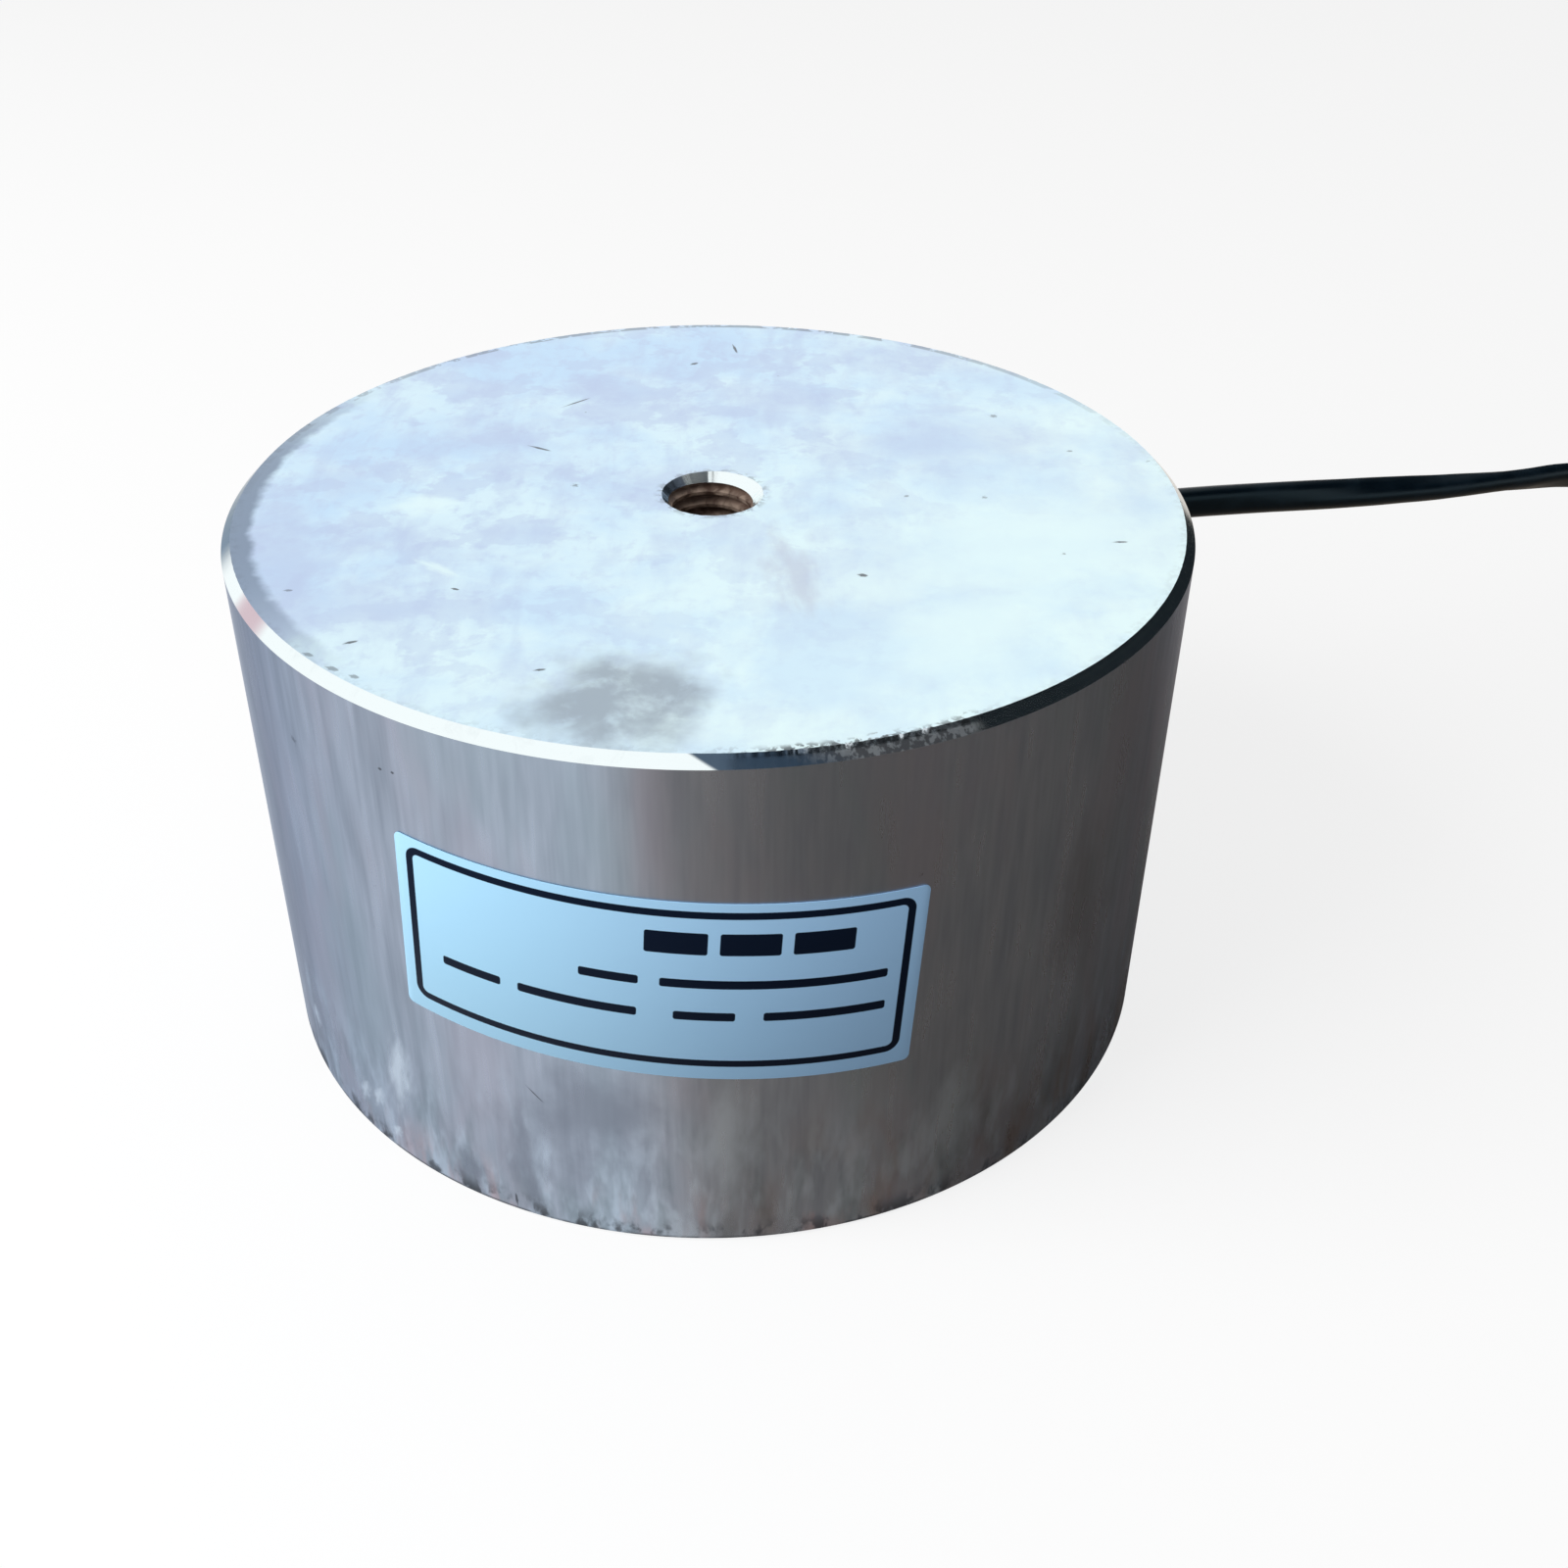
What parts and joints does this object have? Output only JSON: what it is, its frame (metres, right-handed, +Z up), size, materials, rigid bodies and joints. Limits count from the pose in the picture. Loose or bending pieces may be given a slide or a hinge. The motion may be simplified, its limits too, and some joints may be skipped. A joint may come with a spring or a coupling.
{
  "type": "holding electromagnet",
  "caption": "Round steel-pot holding electromagnet with a potted ring coil, a tapped mounting hole in its back and a flat two-core lead.",
  "frame": {"origin": "middle of the holding face, which is the lower face", "axes": "+Z up the pot's axis and out of the tapped hole, +X along the lead where it leaves the wall"},
  "size_m": [0.3373, 0.1201, 0.07],
  "materials": {
    "plated_steel": "ground and brushed, thin bright plating with stains",
    "label_film": "satin film",
    "black_rubber": "matte",
    "nylon": "moulded",
    "enamelled_copper": "enamelled wire",
    "yellow_tape": "polyester tape",
    "black_sleeve": "shrunk sleeve",
    "black_core": "extruded",
    "red_core": "extruded",
    "dark_resin": "cast and ground flush",
    "black_sheath": "satin extruded sheath",
    "tie_strip": "satin",
    "tinned_copper": "tinned strands"
  },
  "bodies": {
    "root": {"pot_yoke": "plated_steel", "name_label": "label_film", "lead_grommet": "black_rubber", "coil_bobbin": "nylon", "coil_winding": "enamelled_copper", "winding_wrap": "yellow_tape", "tail_start": "enamelled_copper", "tail_finish": "enamelled_copper", "splice_start": "black_sleeve", "splice_finish": "black_sleeve", "core_black": "black_core", "core_red": "red_core", "potting_resin": "dark_resin", "lead_flex": "black_sheath", "lead_coil": "black_sheath", "lead_tail": "black_sheath", "lead_tie": "tie_strip", "end_core_black": "black_core", "end_core_red": "red_core", "end_strands_black": "tinned_copper", "end_strands_red": "tinned_copper"}
  },
  "joints": []
}
